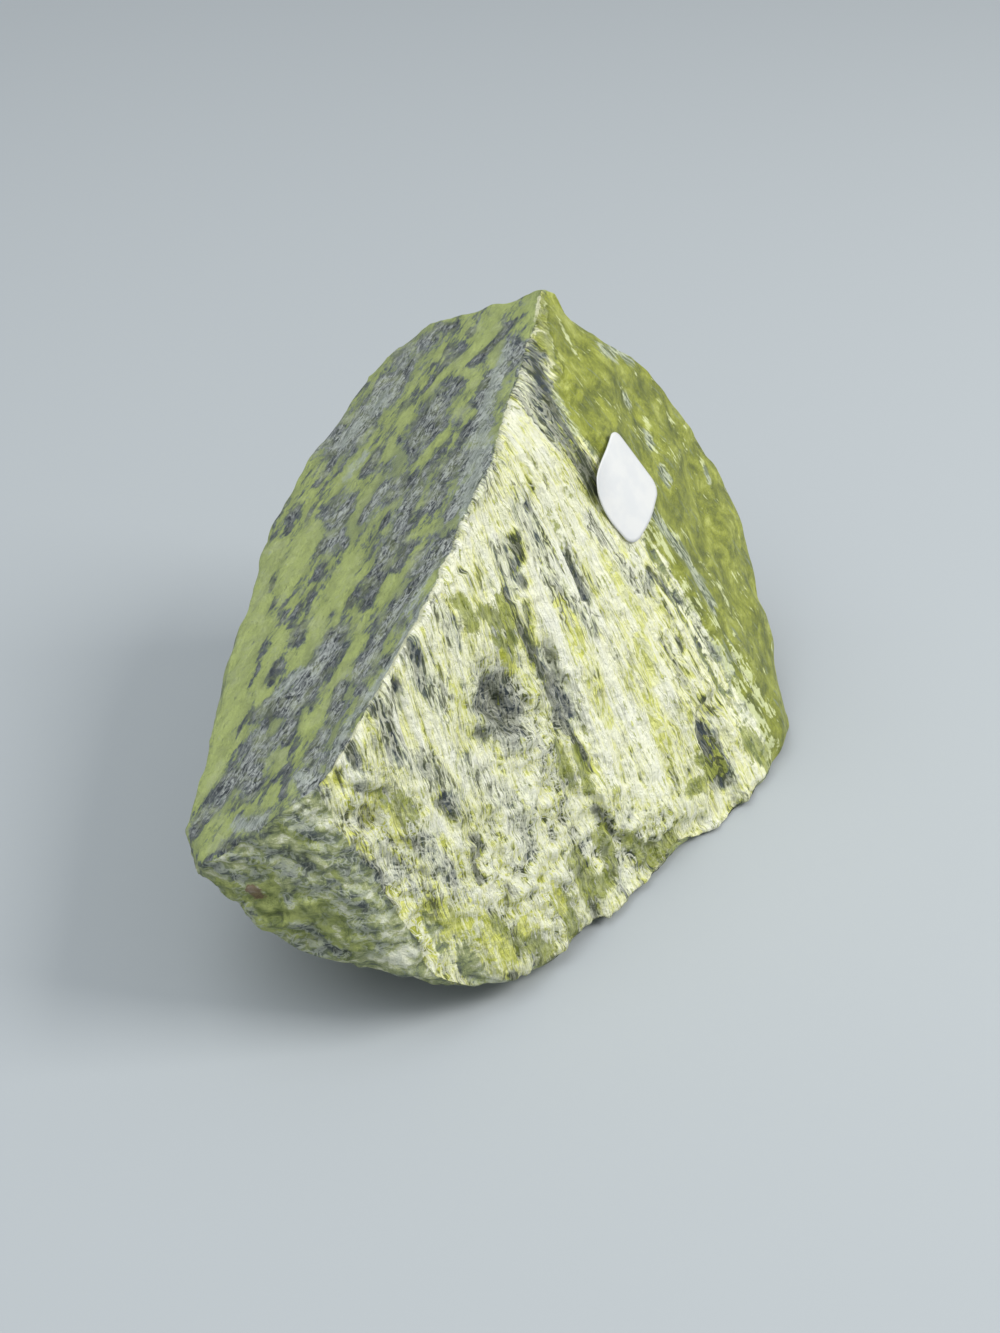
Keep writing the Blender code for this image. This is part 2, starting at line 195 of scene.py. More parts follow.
# The camera, as it stood for the photo: its place and tilt, the width of its sensor, how near it sees
# in metres, and its focal length and frame in pixels.
CAMERA_PLACE = Vector((-3.32, -260.59, 226.0))
CAMERA_TILT = math.radians(52.9)
SENSOR_WIDE = 36.0
NEAREST_SEEN = 0.01
FOCAL_PIXELS = 1909
FRAME_WIDE = 1000
FRAME_HIGH = 1333

# No mark is narrower on the rock than this radius.
LEAST_MARK = 0.7

# Marks, each a stroke read in that frame: its two ends and its radius, in pixels. Most are the
# stone's own patches. Some dark ones are painted shade and shadow, and some grey and frost a painted
# sheen.
STROKES = {
    "dark": [
        (441, 326, 455, 327, 4), (431, 337, 433, 340, 4), (455, 350, 456, 351, 9),
        (471, 331, 472, 333, 4), (514, 322, 506, 329, 4), (506, 329, 474, 363, 5),
        (447, 361, 424, 391, 3), (459, 380, 460, 385, 5), (385, 381, 386, 383, 8),
        (410, 362, 404, 372, 4), (431, 415, 431, 425, 13), (417, 439, 413, 446, 8),
        (376, 457, 371, 467, 9), (404, 482, 402, 490, 8), (394, 494, 393, 498, 5),
        (368, 506, 361, 520, 4), (348, 506, 342, 522, 7), (339, 535, 325, 545, 7),
        (344, 543, 345, 546, 4), (385, 518, 384, 524, 4), (414, 513, 400, 537, 9),
        (400, 537, 385, 561, 9), (385, 561, 367, 588, 8), (490, 381, 480, 403, 6),
        (474, 420, 464, 438, 7), (456, 454, 448, 474, 7), (439, 490, 432, 504, 7),
        (455, 505, 450, 515, 5), (453, 538, 438, 556, 7), (438, 556, 421, 577, 8),
        (421, 577, 400, 607, 8), (400, 607, 375, 644, 8), (375, 644, 360, 667, 7),
        (410, 545, 395, 568, 5), (385, 570, 365, 605, 6), (365, 590, 351, 601, 5),
        (294, 511, 292, 517, 6), (289, 526, 288, 530, 4), (331, 465, 316, 484, 2.5),
        (274, 578, 272, 588, 6), (312, 592, 311, 597, 4), (299, 605, 296, 613, 5),
        (285, 613, 283, 620, 5), (322, 567, 319, 575, 6), (299, 630, 296, 640, 7),
        (333, 634, 330, 643, 7), (332, 653, 316, 676, 12), (318, 678, 301, 700, 13),
        (300, 700, 277, 708, 11), (277, 706, 254, 714, 9), (275, 668, 270, 683, 7),
        (292, 724, 286, 739, 7), (262, 746, 254, 760, 8), (252, 762, 244, 775, 9),
        (240, 772, 226, 786, 7), (222, 784, 208, 799, 7), (206, 800, 194, 833, 5),
        (257, 780, 254, 789, 5), (340, 683, 335, 719, 2.5), (321, 735, 311, 756, 2.5),
        (289, 768, 283, 794, 3), (324, 779, 310, 790, 5), (365, 419, 352, 436, 9),
        # Painted shade in the crevice along the proud layer's step: (505, 590) to (590, 770).
        (344, 438, 334, 452, 8), (401, 377, 388, 396, 7), (505, 590, 516, 622, 3.5),
        (516, 622, 534, 660, 4), (534, 660, 548, 690, 4), (548, 690, 570, 730, 3.2),
        (570, 730, 590, 770, 2.8), (360, 690, 372, 712, 4), (386, 660, 396, 684, 4),
        (410, 640, 418, 660, 4), (346, 740, 356, 765, 4), (330, 760, 338, 780, 4),
        (516, 536, 522, 556, 5), (520, 560, 516, 570, 4), (521, 576, 526, 584, 3.5),
        # Painted shade along the step's edge: (514, 614) to (535, 655).
        (514, 614, 524, 634, 3.5), (524, 634, 535, 655, 3.5), (482, 688, 502, 682, 9),
        # Painted shade in the pocket: (482, 688) to (502, 682) above, and the three strokes of this line.
        (486, 706, 506, 722, 13), (498, 694, 514, 708, 9), (480, 732, 484, 736, 6),
        # Painted shade along the step's edge: the three strokes of this line.
        (526, 604, 537, 660, 3), (540, 668, 555, 686, 3), (557, 690, 570, 714, 3),
        (366, 815, 367, 819, 8), (361, 864, 362, 874, 6), (379, 874, 381, 880, 5),
        (363, 895, 363, 905, 6), (376, 905, 378, 914, 5), (392, 838, 414, 845, 5),
        (507, 893, 508, 902, 5), (476, 841, 480, 850, 5), (529, 506, 530, 508, 3),
        (567, 556, 578, 578, 2.2), (578, 578, 588, 602, 2.2), (592, 622, 595, 632, 5),
        (648, 570, 673, 601, 2.5), (679, 640, 682, 650, 4), (592, 905, 597, 914, 4),
        # Painted shadow under a small chip: the stroke from (704, 700) to (712, 712).
        (702, 734, 714, 752, 10), (714, 752, 722, 775, 9), (704, 700, 712, 712, 3),
        # Painted shade in the same crevice: (594, 808) to (612, 833).
        (594, 808, 612, 833, 2.5), (503, 976, 514, 974, 4), (470, 850, 480, 880, 4),
        (440, 800, 452, 815, 5), (652, 512, 688, 560, 8), (688, 560, 712, 606, 8),
        (716, 650, 730, 668, 6), (531, 348, 546, 392, 11), (546, 392, 570, 438, 12),
        # Painted shadow of the label's lifted edge: the stroke from (600, 495) to (610, 516).
        (570, 438, 596, 488, 10), (600, 495, 610, 516, 3), (604, 349, 614, 355, 7),
        (614, 348, 630, 360, 6), (626, 398, 629, 404, 6), (648, 436, 650, 444, 6),
        (662, 470, 668, 480, 5), (705, 470, 708, 480, 4), (228, 846, 290, 868, 8),
        (290, 868, 345, 900, 10), (345, 900, 385, 945, 10), (320, 835, 360, 865, 12),
        (352, 872, 385, 905, 10), (290, 820, 325, 838, 8), (280, 938, 322, 950, 7),
        (243, 905, 256, 922, 5), (203, 866, 213, 866, 5), (215, 868, 240, 876, 6),
        (236, 842, 255, 846, 3.5), (255, 846, 273, 851, 3.5), (273, 851, 302, 867, 4),
        (302, 867, 330, 882, 4), (330, 882, 352, 896, 5), (290, 864, 310, 876, 5),
        (310, 876, 331, 888, 5), (298, 925, 318, 936, 6), (318, 936, 342, 953, 6),
        (359, 870, 363, 878, 5), (364, 892, 364, 900, 5), (375, 877, 376, 882, 4),
        (284, 898, 290, 904, 2), (362, 918, 368, 926, 4), (256, 873, 262, 877, 4),
    ],
    "grey": [
        # Painted sheen on the slab's upper left: (420, 345) to (345, 450), and (440, 400) to (400, 460).
        (420, 345, 380, 400, 20), (380, 400, 345, 450, 18), (440, 400, 400, 460, 18),
        (400, 460, 365, 520, 15), (420, 480, 385, 550, 13), (500, 370, 480, 430, 10),
        (480, 430, 450, 520, 13), (450, 520, 400, 600, 11), (400, 600, 350, 690, 11),
        (330, 650, 270, 720, 17), (270, 720, 220, 800, 15), (300, 700, 250, 780, 13),
        (350, 690, 310, 780, 10), (340, 500, 330, 545, 13), (330, 440, 345, 425, 16),
        # Painted sheen on the slab's upper left: (330, 440) above, to (416, 350) here.
        (345, 425, 367, 410, 18), (367, 410, 392, 382, 20), (392, 382, 416, 350, 16),
        (474, 488, 480, 472, 13), (484, 440, 478, 465, 8), (338, 502, 345, 540, 11),
        (420, 572, 445, 545, 9), (380, 636, 410, 596, 8), (262, 748, 240, 782, 14),
        (239, 820, 262, 826, 7), (310, 778, 327, 796, 6), (430, 505, 446, 470, 9),
        (430, 418, 438, 405, 10), (704, 736, 722, 772, 12), (482, 688, 508, 706, 15),
        (366, 700, 396, 750, 11), (405, 645, 440, 700, 10), (484, 706, 506, 702, 13),
        (432, 600, 456, 640, 8), (430, 845, 460, 890, 12), (300, 800, 340, 850, 8),
        (522, 505, 545, 560, 12), (545, 560, 565, 610, 12), (565, 560, 590, 625, 12),
        (500, 545, 515, 580, 8), (372, 655, 395, 700, 10), (395, 620, 420, 655, 8),
        (336, 745, 352, 790, 10), (355, 830, 375, 880, 14), (400, 870, 440, 905, 12),
        (480, 700, 520, 740, 12), (470, 760, 500, 800, 9), (420, 760, 450, 800, 10),
        (540, 655, 575, 720, 8), (505, 800, 530, 850, 8), (590, 520, 640, 590, 7),
        (690, 600, 715, 650, 7), (505, 345, 530, 400, 12), (530, 400, 560, 440, 8),
        (520, 350, 545, 385, 10),
    ],
    # Frost: white hairs on the slab, partly a painted sheen.
    "frost_and_sheen": [
        (504, 350, 488, 400, 6), (488, 400, 478, 450, 7), (478, 450, 470, 495, 12),
        (470, 495, 462, 520, 6), (385, 395, 345, 440, 10), (365, 455, 345, 480, 7),
        (436, 590, 380, 680, 4), (380, 680, 345, 730, 4), (343, 735, 330, 775, 4),
        (430, 575, 410, 610, 5), (262, 820, 235, 825, 7), (300, 775, 330, 800, 7),
        (280, 690, 300, 670, 6),
    ],
    "green": [
        (271, 550, 248, 640, 13), (246, 645, 205, 795, 12), (492, 334, 462, 362, 7),
        (446, 370, 430, 391, 5), (439, 357, 440, 358, 5), (408, 411, 404, 420, 5),
        (392, 449, 388, 456, 5), (418, 506, 412, 520, 3), (456, 520, 445, 535, 5),
        (410, 580, 400, 594, 4), (322, 708, 316, 720, 5), (284, 753, 279, 763, 6),
        (275, 790, 270, 800, 5), (352, 688, 346, 697, 4), (338, 488, 345, 476, 5),
        (264, 560, 265, 570, 5), (272, 718, 275, 727, 7), (500, 345, 494, 365, 5),
        (306, 540, 285, 575, 14), (350, 560, 335, 600, 10), (322, 612, 306, 655, 9),
        (250, 640, 235, 720, 11), (378, 480, 352, 530, 6), (405, 452, 398, 470, 6),
        (380, 600, 392, 575, 4), (360, 640, 335, 680, 5), (303, 728, 306, 705, 4),
        (225, 830, 214, 846, 5), (280, 640, 262, 690, 8), (545, 306, 554, 345, 13),
        (554, 345, 568, 385, 10), (430, 905, 455, 925, 9), (490, 925, 515, 950, 9),
        (400, 800, 412, 815, 6), (500, 640, 514, 665, 7), (500, 603, 512, 640, 6),
        (480, 612, 500, 622, 7), (458, 600, 470, 625, 6), (553, 744, 572, 782, 6),
        (377, 792, 386, 806, 4), (388, 808, 399, 824, 4), (602, 836, 614, 868, 8),
        (612, 872, 602, 888, 8), (629, 838, 648, 858, 9), (648, 858, 668, 838, 9),
        (700, 758, 708, 765, 6), (746, 740, 768, 760, 9), (780, 728, 786, 734, 6),
        (737, 640, 745, 650, 6), (575, 860, 590, 890, 10), (560, 900, 575, 930, 10),
        (520, 930, 545, 950, 9), (690, 790, 720, 770, 6), (576, 750, 588, 790, 5),
        (225, 890, 262, 930, 12), (262, 905, 300, 935, 13), (300, 915, 345, 955, 10),
        (252, 860, 270, 872, 8), (325, 905, 338, 918, 9), (352, 935, 364, 945, 9),
        (280, 826, 302, 838, 4), (304, 840, 328, 851, 4), (337, 874, 341, 882, 5),
        (268, 885, 285, 915, 8), (300, 900, 318, 912, 7), (236, 885, 246, 905, 6),
    ],
    "pale": [
        (742, 700, 772, 742, 12), (720, 650, 745, 700, 9), (474, 520, 460, 548, 6),
        (460, 548, 446, 575, 6), (446, 575, 430, 606, 5), (430, 606, 404, 645, 4),
        (404, 645, 372, 692, 4), (372, 692, 350, 725, 6), (350, 725, 334, 770, 7),
        (477, 515, 496, 534, 5), (530, 560, 555, 640, 9), (555, 640, 590, 720, 11),
        (590, 720, 640, 790, 13), (512, 415, 520, 470, 7), (535, 440, 575, 520, 10),
        (575, 520, 625, 600, 12), (625, 600, 665, 680, 12), (560, 560, 600, 640, 11),
        (600, 640, 640, 730, 12), (640, 730, 660, 790, 13), (540, 500, 560, 540, 7),
        (443, 822, 468, 858, 8), (468, 858, 492, 893, 8), (500, 855, 505, 868, 6),
        (392, 870, 400, 882, 7), (418, 855, 430, 862, 6), (533, 818, 542, 832, 7),
        (556, 852, 563, 864, 6), (400, 943, 414, 950, 6), (493, 978, 503, 981, 4),
        (576, 805, 577, 806, 4), (357, 725, 356, 735, 6), (350, 770, 350, 782, 7),
        (736, 650, 750, 680, 9), (755, 690, 775, 715, 7), (520, 760, 545, 800, 10),
        (480, 760, 500, 800, 9), (430, 720, 450, 760, 6), (400, 700, 420, 740, 5),
        (500, 800, 520, 850, 9), (724, 600, 748, 640, 5), (748, 640, 764, 668, 4),
        (557, 319, 568, 338, 2.5), (568, 338, 579, 358, 2.5), (547, 331, 550, 375, 2.5),
        (604, 376, 606, 382, 2.5), (621, 388, 623, 394, 3), (646, 420, 648, 426, 3),
        (633, 368, 636, 375, 5), (692, 478, 694, 490, 3), (663, 521, 678, 537, 4),
        (704, 565, 718, 588, 6), (718, 588, 736, 616, 6), (646, 516, 668, 552, 3),
        (668, 552, 690, 589, 4), (690, 589, 719, 625, 5), (719, 625, 733, 635, 4),
        (540, 300, 525, 333, 4), (530, 345, 545, 372, 3), (552, 392, 566, 412, 2.5),
        (572, 430, 580, 446, 2.5), (300, 812, 330, 828, 5), (335, 850, 352, 866, 4),
        (365, 885, 385, 915, 5), (385, 935, 395, 960, 5), (205, 850, 222, 858, 4),
        (196, 860, 221, 847, 3), (240, 846, 262, 852, 2), (278, 858, 300, 869, 2.5),
        (305, 873, 328, 887, 2.5), (312, 938, 322, 946, 3), (340, 905, 350, 915, 4),
    ],
    "yellow": [
        (440, 915, 480, 948, 15), (478, 940, 508, 958, 10), (400, 920, 430, 942, 9),
        (372, 800, 420, 870, 6), (420, 870, 455, 930, 7), (452, 900, 470, 945, 12),
        (400, 890, 420, 915, 8), (420, 930, 440, 955, 10), (455, 905, 480, 925, 10),
        (505, 900, 530, 925, 9), (460, 955, 500, 965, 8), (540, 880, 560, 905, 8),
        (330, 775, 350, 800, 9), (350, 830, 370, 850, 8), (504, 654, 513, 668, 6),
        (528, 690, 531, 698, 5), (443, 840, 470, 880, 6), (426, 886, 431, 898, 7),
        (422, 925, 428, 935, 7), (470, 926, 475, 936, 7), (482, 950, 487, 958, 6),
        (510, 910, 519, 918, 6), (620, 546, 622, 553, 5), (630, 674, 632, 684, 6),
        (665, 808, 667, 814, 4), (338, 799, 360, 802, 5), (360, 802, 377, 824, 5),
        (329, 782, 334, 790, 5), (560, 600, 580, 650, 7), (605, 560, 640, 620, 8),
        (640, 640, 650, 680, 8), (650, 700, 665, 740, 9), (590, 680, 610, 720, 7),
        (450, 690, 470, 720, 6), (456, 960, 470, 968, 8), (400, 905, 410, 925, 7),
        (640, 418, 648, 428, 8), (739, 528, 740, 545, 5), (732, 508, 737, 524, 4),
        (700, 455, 715, 475, 6), (560, 350, 580, 395, 8), (600, 400, 615, 425, 6),
    ],
    "rust": [
        (251, 889, 258, 896, 6),
    ],
}


# Shaping


def smooth_step(low, high, value):
    share = np.clip((value - low) / (high - low), 0.0, 1.0)
    return share * share * (3.0 - 2.0 * share)


def unit(direction):
    direction = np.array(direction, float)
    return direction / np.linalg.norm(direction)


def relax(values, edges, rounds):
    """Move each vertex's value halfway to the mean of its neighbours', a number of rounds."""
    first, second = edges.T
    total = len(values)
    count = np.bincount(edges.ravel(), minlength=total)
    for _ in range(rounds):
        mean = np.empty_like(values)
        for column in range(values.shape[1]):
            part = values[:, column]
            mean[:, column] = np.bincount(first, part[second], total)
            mean[:, column] += np.bincount(second, part[first], total)
        values = (values + mean / count[:, None]) / 2.0
    return values


def cloud(points, sizes, seed):
    """Smooth noise from about -1 to 1 with blotches of the given sizes."""
    places = points / np.array(sizes) + SEED_STEP * seed
    return np.array([noise.noise(place) for place in places.tolist()]) * 2.0


def chance(first, second, seed):
    """A fixed number from 0 to 1 for each pair of whole numbers."""
    mixed = np.sin(first * SCATTER[0] + second * SCATTER[1] + seed * SCATTER[2]) * SCATTER_SIZE
    return mixed - np.floor(mixed)


def splinters(grain, sizes, seed):
    """Flat-topped strands of the given width that each break across at odd places, from -1 to 1."""
    width, length = sizes
    wander, wander_sizes = STRAND_WANDER
    across = grain[:, 0] / width + cloud(grain, wander_sizes, seed) * wander
    strand = np.floor(across)
    edge = smooth_step(*STRAND_STEP, across - strand)

    def top(number):
        piece = np.floor(grain[:, 1] / length + chance(number, 0, seed) * STRAND_SHIFTS)
        return chance(number, piece, seed + 1)

    return (top(strand) * (1.0 - edge) + top(strand + 1.0) * edge) * 2.0 - 1.0


def blotches(points, relief):
    sizes, height, seed = relief
    return cloud(points, sizes, seed) * height


def strands(grain, relief):
    sizes, height, seed = relief
    return splinters(grain, sizes, seed) * height


def capsule_reach(points, capsules, least=0.0):
    """How near each point is to any capsule's middle line: 1 on it, 0.5 at the radius, 0 far off."""
    strongest = np.zeros(len(points))
    for row in capsules:
        start, end, radius = np.array(row[:3]), np.array(row[3:6]), max(row[6], least)
        along = end - start
        share = np.clip((points - start) @ along / (along @ along), 0.0, 1.0)
        apart = np.linalg.norm(points - start - share[:, None] * along, axis=1)
        strongest = np.maximum(strongest, np.clip(1.0 - apart / radius / 2.0, 0.0, 1.0))
    return strongest


def laid_on(tree, stroke):
    """A stroke of the frame as a capsule on the rock, where the camera sees its two ends."""
    capsule = []
    reach = 0.0
    for x, y in (stroke[:2], stroke[2:4]):
        toward = Vector((x - FRAME_WIDE / 2, FRAME_HIGH / 2 - y, -FOCAL_PIXELS)).normalized()
        toward.rotate(Euler((CAMERA_TILT, 0.0, 0.0)))
        place, _, _, away = tree.ray_cast(CAMERA_PLACE, toward)
        capsule.extend(place)
        reach += away / 2
    return (*capsule, stroke[4] * reach / FOCAL_PIXELS)


def face_weights(points, normals):
    """How much each point belongs to each named face, and last to the rough rest."""
    scores = []
    for facing in FACES.values():
        height = points @ unit(facing)
        turned = normals @ unit(facing)
        level = np.percentile(height[turned > OWN_FACING], OWN_HEIGHT)
        scores.append(height - level + TURN_COST * (turned - 1.0))
    scores.append(np.full(len(points), ROUGH_SCORE))
    scores = np.array(scores) / FACE_SOFTNESS
    shares = np.exp(scores - scores.max(axis=0))
    return shares / shares.sum(axis=0)


def grain_of(points):
    """Each point's place in the grain of the front: across it, along it and out of the face."""
    from_apex = points - APEX
    across = from_apex @ unit(ACROSS_GRAIN) - FAN_CENTRE[0]
    down = from_apex @ unit(DOWN_GRAIN) - FAN_CENTRE[1]
    angle = np.arctan2(across, down)
    fanned = angle > LEAST_FAN
    straight_across = across * math.cos(LEAST_FAN) - down * math.sin(LEAST_FAN)
    straight_along = across * math.sin(LEAST_FAN) + down * math.cos(LEAST_FAN)
    u = np.where(fanned, angle * FAN_RADIUS, LEAST_FAN * FAN_RADIUS + straight_across)
    v = np.where(fanned, np.hypot(across, down), straight_along)
    return np.stack((u, v, points @ unit(OUT_OF_FRONT)), axis=1)


def surface_normals(mesh):
    normals = np.empty(len(mesh.vertices) * 3, np.float32)
    mesh.vertex_normals.foreach_get("vector", normals)
    return normals.reshape(-1, 3).astype(float)


def places_of(mesh):
    places = np.empty(len(mesh.vertices) * 3, np.float32)
    mesh.vertices.foreach_get("co", places)
    return places.reshape(-1, 3).astype(float)


def set_places(mesh, places):
    mesh.vertices.foreach_set("co", places.astype(np.float32).ravel())
    mesh.update()


def tree_of(mesh, scale=1.0):
    """A search tree of the mesh's faces, for rays."""
    skin = bmesh.new()
    skin.from_mesh(mesh)
    bmesh.ops.scale(skin, vec=(scale,) * 3, verts=skin.verts[:])
    tree = BVHTree.FromBMesh(skin)
    skin.free()
    return tree


def fine_copy(node):
    """The node's skin as one closed mesh in millimetres, with its edges halved."""
    skin = bmesh.new()
    skin.from_mesh(node.data)
    bmesh.ops.remove_doubles(skin, verts=skin.verts[:], dist=SAME_PLACE)
    bmesh.ops.scale(skin, vec=(1 / MM,) * 3, verts=skin.verts[:])
    for _ in range(HALVINGS):
        bmesh.ops.subdivide_edges(skin, edges=skin.edges[:], cuts=1, use_grid_fill=True)
        bmesh.ops.triangulate(skin, faces=skin.faces[:])
    mesh = bpy.data.meshes.new("serpentine_rock")
    skin.to_mesh(mesh)
    skin.free()
    return mesh


def front_relief(points, grain, crumbled):
    """Splintered strands, worn to crumbs where the front is crumbled."""
    straight = blotches(grain, FRONT_SWELL)
    straight += strands(grain, LONG_SPLINTERS) + strands(grain, SHORT_SPLINTERS)
    worn = blotches(points, LARGE_CRUMBS) + blotches(points, SMALL_CRUMBS)
    worn += strands(grain, WORN_SPLINTERS)
    return straight * (1.0 - crumbled) + worn * crumbled


def slab_relief(points):
    """Low ripples along the slab's streaks."""
    streaks = np.stack((points @ unit(STREAK), points @ unit(STREAK_SIDE), np.zeros(len(points))), axis=1)
    return blotches(streaks, SLAB_RIPPLES) + blotches(streaks, SLAB_GRAIN)


def broken_relief(points):
    """The hackly break of the back and sides: steps with soft risers, sharp ridges and a grain."""
    sizes, rise, seed = BROKEN_STEPS
    blocks = cloud(points, sizes, seed) * STEPS_A_BLOTCH
    steps = (np.floor(blocks) + smooth_step(*STEP_RISER, blocks - np.floor(blocks))) * rise
    sizes, height, seed = BROKEN_RIDGES
    ridges = (1.0 - np.abs(cloud(points, sizes, seed)) * 2.0) * height
    return steps + ridges + blotches(points, BROKEN_GRAIN)


def rock_relief(points, grain, crumbled, share, steady):
    """How far each point of the rock rises, by the share that each face has in it."""
    rise = front_relief(points, grain, crumbled) * share["fibre"]
    rise += strands(grain, RIDGE_SPLINTERS) * smooth_step(*RIDGE_SHARE, share["slab"] * share["fibre"])
    rise -= smooth_step(*HOLLOW_EDGE, capsule_reach(points, HOLLOWS)) * HOLLOW_DEPTH
    rise += slab_relief(points) * share["slab"]
    rise += blotches(points, OLIVE_SWELL) * share["olive"]
    rise += (blotches(points, END_LUMPS) + blotches(points, END_GRAIN)) * share["end"] * steady
    rise += broken_relief(points) * share["rough"] * steady
    away = np.linalg.norm(points - np.array(LABEL_CENTRE), axis=1)
    rise *= UNDER_LABEL + (1.0 - UNDER_LABEL) * smooth_step(*CLEAR_OF_LABEL, away)
    return rise * smooth_step(*FOOT, points[:, 2])


def keep_values(mesh, values, grain):
    """Leave the values of every vertex on the mesh as named attributes, and its place in the grain."""
    for name, value in values.items():
        kept = mesh.attributes.new(name, "FLOAT", "POINT")
        kept.data.foreach_set("value", value.astype(np.float32))
    kept = mesh.attributes.new("grain", "FLOAT_VECTOR", "POINT")
    kept.data.foreach_set("vector", grain.astype(np.float32).ravel())


def shape_rock(mesh):
    """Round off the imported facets, raise the fine relief and leave the marks as attributes."""
    tree = tree_of(mesh)
    edges = np.array([edge.vertices[:] for edge in mesh.edges])
    packed = places_of(mesh)
    rounded = relax(packed, edges, ROUNDING)
    set_places(mesh, rounded)
    normals = surface_normals(mesh)
    broad = relax(normals, edges, FACE_ROUNDING)
    evenness = np.linalg.norm(broad, axis=1)
    broad /= evenness[:, None]
    steady = LEAST_STEADY + (1.0 - LEAST_STEADY) * smooth_step(*STEADY, evenness)
    share = dict(zip((*FACES, "rough"), face_weights(rounded, broad)))
    share["fibre"] += share.pop("tip")
    grain = grain_of(rounded)
    crumbled = capsule_reach(rounded, CRUMBLED)
    rise = rock_relief(rounded, grain, crumbled, share, steady)[:, None]
    shaped = np.clip(rounded + normals * rise, packed.min(axis=0), packed.max(axis=0))
    shaped[packed[:, 2] < ON_THE_FLOOR, 2] = 0.0
    set_places(mesh, shaped * MM)
    values = {name: share[name] for name in COATED}
    # How far each point stands over its neighbours. The front's coat uses it to paint hollows darker and
    # raised tops lighter, as painted shade.
    values["raised"] = (rise - relax(rise, edges, LEVEL_ROUNDING))[:, 0]
    values["crumbled"] = crumbled
    for name, strokes in STROKES.items():
        capsules = [laid_on(tree, stroke) for stroke in strokes]
        values[name] = capsule_reach(rounded, capsules, LEAST_MARK)
    keep_values(mesh, values, grain)
    mesh.shade_smooth()


def round_square(x, y):
    """Move a point of a square from -1 to 1 to its place on the rounded square."""
    reach = max(abs(x), abs(y))
    if reach == 0.0:
        return 0.0, 0.0
    half = LABEL_SIDE / 2
    inner = half - LABEL_CORNER
    across, along = sorted((abs(x) / reach * half, abs(y) / reach * half))
    if across <= inner:
        return x * half, y * half
    share = math.hypot(across, along)
    diagonal = inner * (across + along) / share
    radius = diagonal + math.sqrt(diagonal * diagonal - 2.0 * inner * inner + LABEL_CORNER ** 2)
    return x * half * radius / share, y * half * radius / share


def make_label(rock_mesh):
    """The paper label, bent over the crest with its left corner coming away."""
    tree = tree_of(rock_mesh, 1 / MM)
    side = LABEL_UP.cross(LABEL_NORMAL).normalized()
    up = LABEL_NORMAL.cross(side)
    fold_side = CREST.cross(LABEL_NORMAL).normalized()
    fall = math.tan(LABEL_FOLD)
    paper = bmesh.new()
    bmesh.ops.create_grid(paper, x_segments=LABEL_CELLS, y_segments=LABEL_CELLS, size=1.0)
    lift = -math.inf
    for vert in paper.verts:
        x, y = round_square(vert.co.x, vert.co.y)
        place = LABEL_CENTRE + side * x + up * y
        from_fold = (place - LABEL_CENTRE).dot(fold_side)
        drop = fall * (math.hypot(from_fold, LABEL_FOLD_ROUND) - LABEL_FOLD_ROUND)
        curled = max(0.0, 1.0 - (x + y + LABEL_SIDE) / math.sqrt(2.0) / CURL_REACH)
        vert.co = place + LABEL_NORMAL * (CURL_LIFT * curled * curled - drop)
        above = vert.co + LABEL_NORMAL * LABEL_SIDE
        hit = tree.ray_cast(above, -LABEL_NORMAL)[0]
        lift = max(lift, (hit - vert.co).dot(LABEL_NORMAL))
    bmesh.ops.translate(paper, vec=LABEL_NORMAL * (lift + LABEL_GAP), verts=paper.verts[:])
    bmesh.ops.solidify(paper, geom=paper.faces[:], thickness=-LABEL_THICK)
    bmesh.ops.recalc_face_normals(paper, faces=paper.faces[:])
    bmesh.ops.scale(paper, vec=(MM,) * 3, verts=paper.verts[:])
    mesh = bpy.data.meshes.new("blank_label")
    paper.to_mesh(mesh)
    paper.free()
    mesh.shade_smooth()
    return mesh


# Finishes

# No turn and no shift.
UNMOVED = (0.0, 0.0, 0.0)

# Patterns on the rock: the field of each, the sizes of its blotches along the field's axes, then its
# detail, roughness, bend and shift. The fields are the place on the rock, the same turned along the
# slab's streaks, and the grain of the front.
PATTERNS = {
    "blot": ("streaks", (6.2, 2.4, 2.4), 10.0, 0.70, 0.3),
    "grit": ("streaks", (1.3, 0.6, 0.6), 5.0, 0.65, 0.4),
    "body": ("place", (4.167, 4.167, 4.167), 7.0, 0.65),
    "crumb": ("place", (2.5, 2.5, 2.5), 6.0, 0.64, 0.6),
    "wax": ("place", (5.263, 5.263, 5.263), 10.0, 0.74, 0.4),
    "layers": ("place", (5.2, 4.6, 1.6), 10.0, 0.74, 0.5),
    "broad": ("place", (21.74, 21.74, 21.74), 5.0, 0.60, 0.3),
    "strand": ("grain", (1.1, 13.0, 4.0), 7.0, 0.62, 0.7),
    "thread": ("grain", (0.42, 4.6, 1.4), 3.0, 0.60, 0.7),
    "drift": ("grain", (4.5, 14.0, 8.0), 5.0, 0.65),
    "tone": ("grain", (2.6, 12.0, 6.0), 6.0, 0.70, 0.0, (31.0, 7.0, 0.0)),
    "sliver": ("grain", (0.5, 3.4, 0.9), 3.0, 0.60, 0.0, (3.0, 1.0, 2.0)),
}

# Thin lines on the rock: the field and sizes of the noise that each follows, its width as a share of
# that noise, and its shift. All follow noise of one detail, roughness and bend, and fade from a core.
HAIRS = {
    "scratch": ("streaks", (2.8, 0.8, 0.8), 0.085),
    "curl": ("place", (1.9, 1.7, 1.5), 0.085),
    "seam": ("grain", (1.3, 7.0, 6.0), 0.06),
    "fuzz": ("grain", (1.1, 4.6, 4.0), 0.085, (4.0, 9.0, 2.0)),
}
HAIR_NOISE = (2.0, 0.55, 0.8)
HAIR_CORE = 0.3

